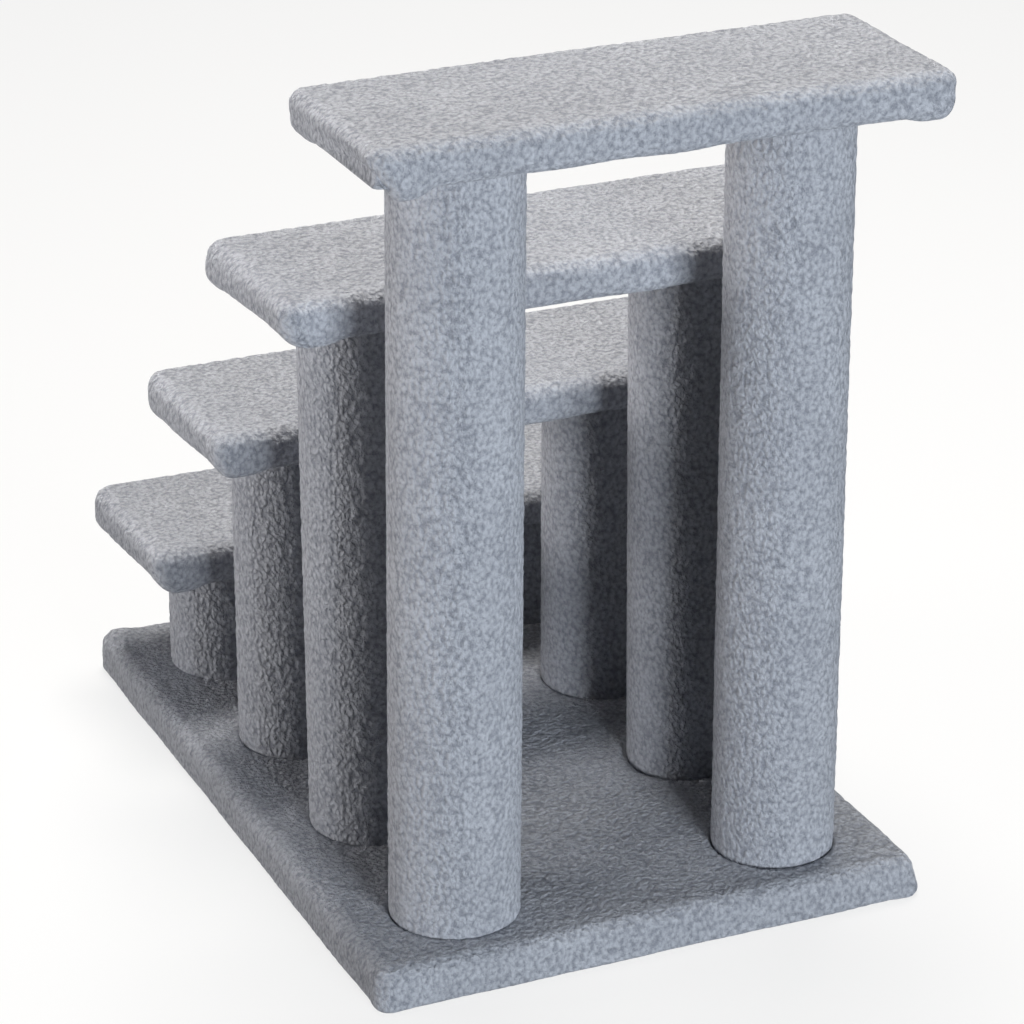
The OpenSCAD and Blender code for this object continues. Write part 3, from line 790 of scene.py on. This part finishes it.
def shape_base(points, plush, half, height, bare, seed):
    """Presses the pile under the posts' feet, and spreads the foot and the corners."""
    pressed = soften_hem(points, plush, half, height, bare, seed, {})
    points[:, 2] = np.maximum(points[:, 2], plush.rest_height)
    board = np.array(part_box("base_board"))
    middle = (board[0] + board[1]) / 2
    top = points[:, 2] > TOP_SHARE * height
    for step in STEPS:
        for side in SIDES:
            x, y = post_middle(step, side) - middle[:2]
            away = np.hypot(points[:, 0] - x, points[:, 1] - y)
            sunk = 1 - ease(away, plush.post_seat, plush.post_seat + SEAT_EDGE)
            points[:, 2] -= top * sunk * plush.post_sink
    foot = 1 - rising(points, height, FOOT_SHARES)
    points[:, 0] -= plush.base_spread * foot * near_end(-points[:, 0], half[0], END_FILL)
    points[:, 1] += plush.front_spread * foot * near_end(points[:, 1], half[1], END_FILL)
    full = near_end(np.abs(points[:, 0]), half[0], CORNER_FILL)
    full *= near_end(points[:, 1], half[1], CORNER_FILL) * (CORNER_TOP + (1 - CORNER_TOP) * foot)
    points[:, 0] += np.sign(points[:, 0]) * plush.corner_spread * full
    points[:, 1] += plush.corner_spread * full
    away = np.hypot(points[:, 0] - (half[0] - PUFF_IN), points[:, 1] + half[1] - PUFF_IN)
    points[:, 2] += (points[:, 2] > PUFF_FROM * height) * PUFF_RISE * (1 - ease(away, *PUFF_REACH))
    return pressed


def post_section(wall, roll, length, spacing):
    """(how far out, height) of points round the wall of a post's cover, rolled at its foot and head."""
    turn = stops([0, math.pi / 2], spacing / roll)[1:]
    flat = stops([0, wall - roll], spacing)
    section = [(out, 0.0) for out in flat]
    section += [(wall - roll + roll * math.sin(a), roll * (1 - math.cos(a))) for a in turn]
    section += [(wall, z) for z in stops([roll, length - roll], spacing)[1:]]
    section += [(wall - roll + roll * math.cos(a), length - roll + roll * math.sin(a)) for a in turn]
    section += [(out, length) for out in flat[::-1][1:]]
    return section


class PETSTAIRS_OT_base_cover(Operator):
    """Plush over the base board, pressed under the posts' feet"""
    bl_idname = "petstairs.base_cover"
    bl_label = "Base cover"

    def execute(self, context):
        plush = context.scene.stair_plush
        dress_board("plush_base", "base_board", (plush.base_flap, plush.base_flap),
                    plush.foot_roll, plush.base_spacing, plush.seed, shape_base)
        return {"FINISHED"}


class PETSTAIRS_OT_tread_covers(Operator):
    """Plush over the four tread boards, with folded pads hanging at their corners"""
    bl_idname = "petstairs.tread_covers"
    bl_label = "Tread covers"

    def execute(self, context):
        plush = context.scene.stair_plush
        for step in STEPS:
            def shape_tread(points, plush, half, height, bare, seed):
                return soften_hem(points, plush, half, height, bare, seed, CORNER_FOLDS[step],
                                  END_FORMS[step], plush.arch)

            dress_board(f"plush_tread_{step}", f"tread_board_{step}", (plush.end_flap, plush.side_flap),
                        plush.edge_roll, plush.spacing, plush.seed + 3 * step, shape_tread)
        return {"FINISHED"}


class PETSTAIRS_OT_post_covers(Operator):
    """Plush wrapped once round each of the eight tubes, with a butt seam facing inward"""
    bl_idname = "petstairs.post_covers"
    bl_label = "Post covers"

    def execute(self, context):
        plush = context.scene.stair_plush
        post = context.scene.stair_post
        tree = named_tree("plush_on_post")
        rail = post.tube + plush.glue_gap
        wall = plush.pile - plush.glue_gap
        roll = min(post.end_round, wall - plush.glue_gap)
        for step in STEPS:
            for side in SIDES:
                low, high = np.array(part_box(f"post_tube_{step}_{side}"))
                length = high[2] - low[2]
                points = [(out, -z, 0.0) for out, z in post_section(wall, roll, length, plush.spacing)]
                edges = [(i, (i + 1) % len(points)) for i in range(len(points))]
                sign = 1 if side == "right" else -1
                facing = math.pi / 2 + sign * (post.seam_turn - math.pi / 2)
                foot, head, extra = POST_SETS.get(f"{step}_{side}", (0.0, 0.0, 0.0))
                across = (math.cos(facing), -math.sin(facing), 0.0)
                piece = run_tree(f"plush_post_{step}_{side}", points, edges, [], tree, {
                    "Length": length, "Extra pile": extra,
                    "Foot shift": [foot * value for value in across],
                    "Head shift": [head * value for value in across],
                    "Points round": round(2 * math.pi * (rail + wall) / plush.spacing),
                    "Wall": wall, "Seam turn": facing, "Seam depth": post.seam_depth, "Rail radius": rail,
                    "Foot": (*post_middle(step, side), low[2]),
                    "Curl size": plush.mound, "Relief": plush.relief, "Material": plush_finish(plush)})
                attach(piece, "root")
                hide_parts(f"post_cover_{step}_{side}")
        return {"FINISHED"}


class PETSTAIRS_OT_boards(Operator):
    """Pressed chipboard on the base board and the tread boards"""
    bl_idname = "petstairs.boards"
    bl_label = "Boards"

    def execute(self, context):
        repaint(["_board"], chipboard_finish())
        return {"FINISHED"}


class PETSTAIRS_OT_tubes_and_plugs(Operator):
    """Brown paper on the tubes and bare wood on their plugs"""
    bl_idname = "petstairs.tubes_and_plugs"
    bl_label = "Tubes and plugs"

    def execute(self, context):
        repaint(["post_tube"], paper_finish())
        repaint(["_plug"], plug_finish())
        return {"FINISHED"}


class PETSTAIRS_OT_fasteners(Operator):
    """Zinc on the bolts, washers and nuts, and galvanised wire on the staples"""
    bl_idname = "petstairs.fasteners"
    bl_label = "Fasteners"

    def execute(self, context):
        zinc = steel_finish("zinc_plate", ZINC_COLOUR, roughness=0.34, speck=700.0)
        wire = steel_finish("galvanised_wire", WIRE_COLOUR, roughness=0.42, speck=1800.0)
        repaint(["_bolts", "_washers", "_nuts"], zinc)
        repaint(["_staples"], wire)
        return {"FINISHED"}


def soft_lamp(name, power, place, target, size, tone, spread):
    """A square lamp at a place, turned to face its target, whose light fans out by the spread."""
    lamp = bpy.data.lights.new(name, "AREA")
    lamp.shape = "SQUARE"
    lamp.size = size
    lamp.energy = power
    lamp.color = tone
    lamp.spread = spread
    holder = bpy.data.objects.new(name, lamp)
    bpy.context.scene.collection.objects.link(holder)
    holder.location = place
    facing = np.array(target) - np.array(place)
    reach = math.hypot(facing[0], facing[1])
    holder.rotation_euler = (math.atan2(reach, -facing[2]), 0, math.atan2(-facing[0], facing[1]))


def seen_rays(tree):
    """1 for rays that show something to the camera, straight or through a mirror or glass, and else 0."""
    ray = tree.nodes.new("ShaderNodeLightPath")
    seen = math_node(tree, "MAXIMUM", ray.outputs["Is Camera Ray"], ray.outputs["Is Glossy Ray"])
    return math_node(tree, "MAXIMUM", seen, ray.outputs["Is Transmission Ray"])


def pale_floor(stage):
    """A floor that is nearly white as seen, keeps the shadow and throws little light up."""
    corners = [(x * FLOOR_REACH, y * FLOOR_REACH, 0) for x, y in ((-1, -1), (1, -1), (1, 1), (-1, 1))]
    mesh = bpy.data.meshes.new("floor")
    mesh.from_pydata(corners, [], [(0, 1, 2, 3)])
    material, tree, shader = finish_base("pale_floor", roughness=0.9)
    shader.inputs["Specular IOR Level"].default_value = 0.1
    seen = seen_rays(tree)
    tone = blend_colours(tree, seen, tuple(stage.floor_bounce), tuple(stage.floor_colour))
    tree.links.new(tone, shader.inputs["Base Color"])
    glow = new_node(tree, "ShaderNodeEmission", {"Strength": 1.0})
    mix = new_node(tree, "ShaderNodeMixShader", {
        0: math_node(tree, "MULTIPLY", seen, stage.floor_white), 1: shader.outputs[0],
        2: glow.outputs[0]})
    tree.links.new(mix.outputs[0], tree.nodes["Material Output"].inputs["Surface"])
    mesh.materials.append(material)
    return bpy.data.objects.new("floor", mesh)


def white_world(stage):
    """Surroundings that are white as seen and give only a faint light."""
    world = bpy.data.worlds.new("white_studio")
    world.use_nodes = True
    tree = world.node_tree
    tree.nodes.clear()
    around = new_node(tree, "ShaderNodeBackground", {"Color": SKY_COLOUR, "Strength": stage.sky})
    white = new_node(tree, "ShaderNodeBackground", {"Color": WHITE, "Strength": 1.0})
    mix = new_node(tree, "ShaderNodeMixShader", {
        0: seen_rays(tree), 1: around.outputs[0], 2: white.outputs[0]})
    new_node(tree, "ShaderNodeOutputWorld", {0: mix.outputs[0]})
    return world


class PETSTAIRS_OT_stage(Operator):
    """Pale floor, soft lamps, white surroundings and the camera"""
    bl_idname = "petstairs.stage"
    bl_label = "Stage"

    def execute(self, context):
        scene = context.scene
        stage = scene.stair_stage
        floor = pale_floor(stage)
        scene.collection.objects.link(floor)
        scene.world = white_world(stage)
        for name, power in (("top", stage.top), ("front", stage.front), ("side", stage.side)):
            soft_lamp(f"{name}_lamp", power, *LAMPS[name])
        lens = bpy.data.cameras.new("camera")
        lens.lens = stage.lens
        lens.sensor_width = SENSOR_WIDTH
        lens.clip_end = VIEW_DEPTH
        camera = bpy.data.objects.new("camera", lens)
        scene.collection.objects.link(camera)
        camera.location = stage.place
        camera.rotation_euler = (math.pi / 2 - stage.elevation, 0.0, stage.azimuth)
        scene.camera = camera
        scene.view_settings.view_transform = "Standard"
        return {"FINISHED"}


class PETSTAIRS_PT_sidebar(Panel):
    """Lists what dresses the pet stairs"""
    bl_idname = "PETSTAIRS_PT_sidebar"
    bl_label = "Pet Stairs"
    bl_space_type = "VIEW_3D"
    bl_region_type = "UI"
    bl_category = "Pet Stairs"

    def draw(self, context):
        for settings in (context.scene.stair_plush, context.scene.stair_post, context.scene.stair_stage):
            box = self.layout.box()
            for name in settings.bl_rna.properties.keys():
                if name not in ("rna_type", "name"):
                    box.prop(settings, name)
        for operator in OPERATORS:
            self.layout.operator(operator.bl_idname)


OPERATORS = (PETSTAIRS_OT_base_cover, PETSTAIRS_OT_tread_covers, PETSTAIRS_OT_post_covers,
             PETSTAIRS_OT_boards, PETSTAIRS_OT_tubes_and_plugs, PETSTAIRS_OT_fasteners,
             PETSTAIRS_OT_stage)
SETTINGS = (PlushSettings, PostSettings, StageSettings)


def register():
    for kind in SETTINGS + OPERATORS + (PETSTAIRS_PT_sidebar,):
        bpy.utils.register_class(kind)
    bpy.types.Scene.stair_plush = PointerProperty(type=PlushSettings)
    bpy.types.Scene.stair_post = PointerProperty(type=PostSettings)
    bpy.types.Scene.stair_stage = PointerProperty(type=StageSettings)


def unregister():
    del bpy.types.Scene.stair_stage
    del bpy.types.Scene.stair_post
    del bpy.types.Scene.stair_plush
    for kind in reversed(SETTINGS + OPERATORS + (PETSTAIRS_PT_sidebar,)):
        bpy.utils.unregister_class(kind)


def main():
    register()
    bpy.ops.petstairs.stage()
    bpy.ops.petstairs.base_cover()
    bpy.ops.petstairs.tread_covers()
    bpy.ops.petstairs.post_covers()
    bpy.ops.petstairs.boards()
    bpy.ops.petstairs.tubes_and_plugs()
    bpy.ops.petstairs.fasteners()


if __name__ == "__main__":
    main()
